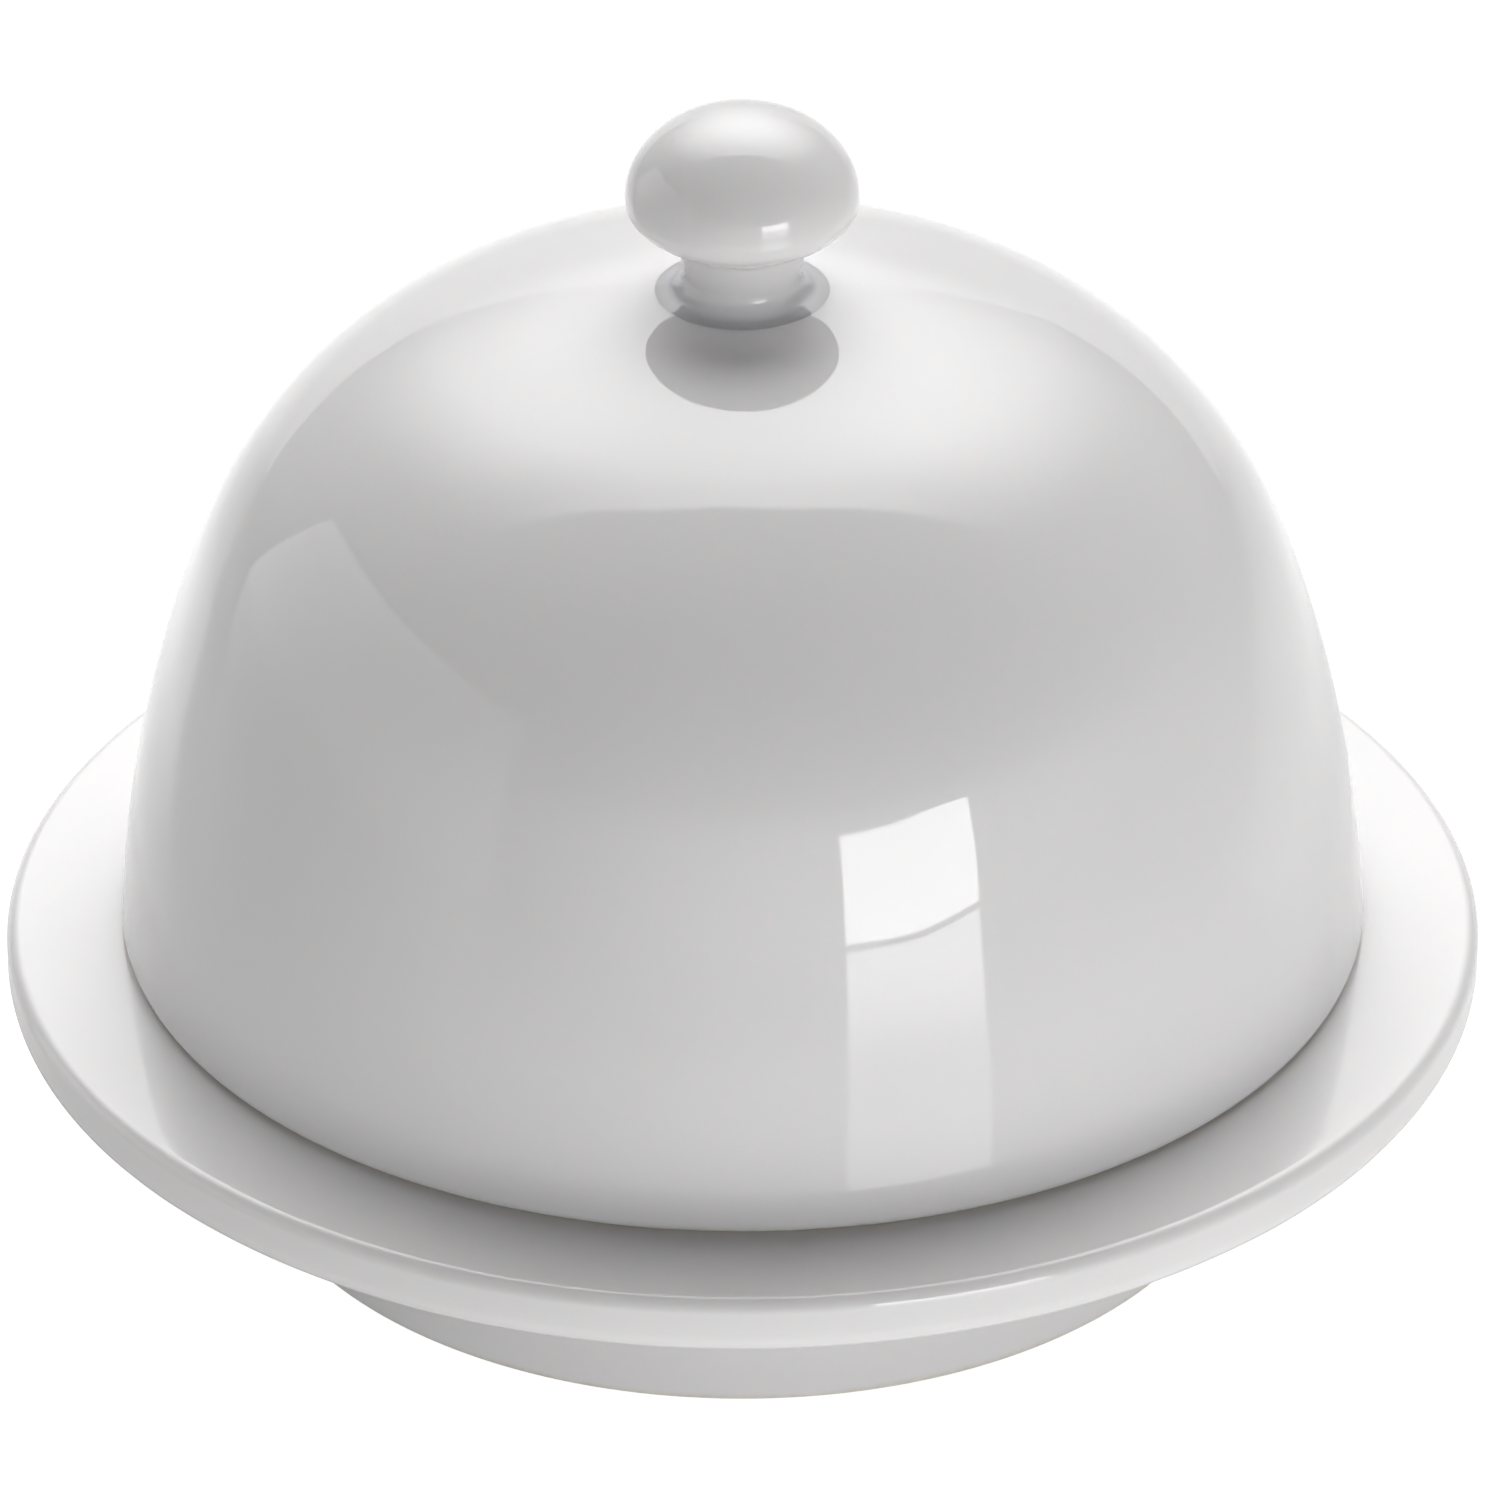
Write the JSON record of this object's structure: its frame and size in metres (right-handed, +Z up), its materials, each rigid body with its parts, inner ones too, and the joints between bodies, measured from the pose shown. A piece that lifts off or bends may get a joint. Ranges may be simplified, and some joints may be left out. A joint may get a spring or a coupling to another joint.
{
  "type": "butter dish",
  "caption": "Round white porcelain butter dish with a footed, flat-rimmed dish, a loose bell-shaped cover and a mushroom knob.",
  "frame": {"origin": "centre of the foot ring, on the table", "axes": "+Z up along the axis that every piece is turned about; X and Y lie in the table's plane and are free, because the object is round"},
  "size_m": [0.125, 0.125, 0.0974],
  "materials": {
    "dish_porcelain": "clear gloss glaze over white porcelain, bare on the foot ring",
    "cover_porcelain": "clear gloss glaze over white porcelain, bare on the standing edge",
    "knob_porcelain": "clear gloss glaze over white porcelain"
  },
  "bodies": {
    "dish": {"dish": "dish_porcelain"},
    "cover": {"cover": "cover_porcelain", "knob": "knob_porcelain"}
  },
  "joints": [
    {"name": "cover_lift", "type": "slide", "parent": "dish", "child": "cover", "axis": [0, 0, 1], "range_m": [0, 0.12]}
  ]
}
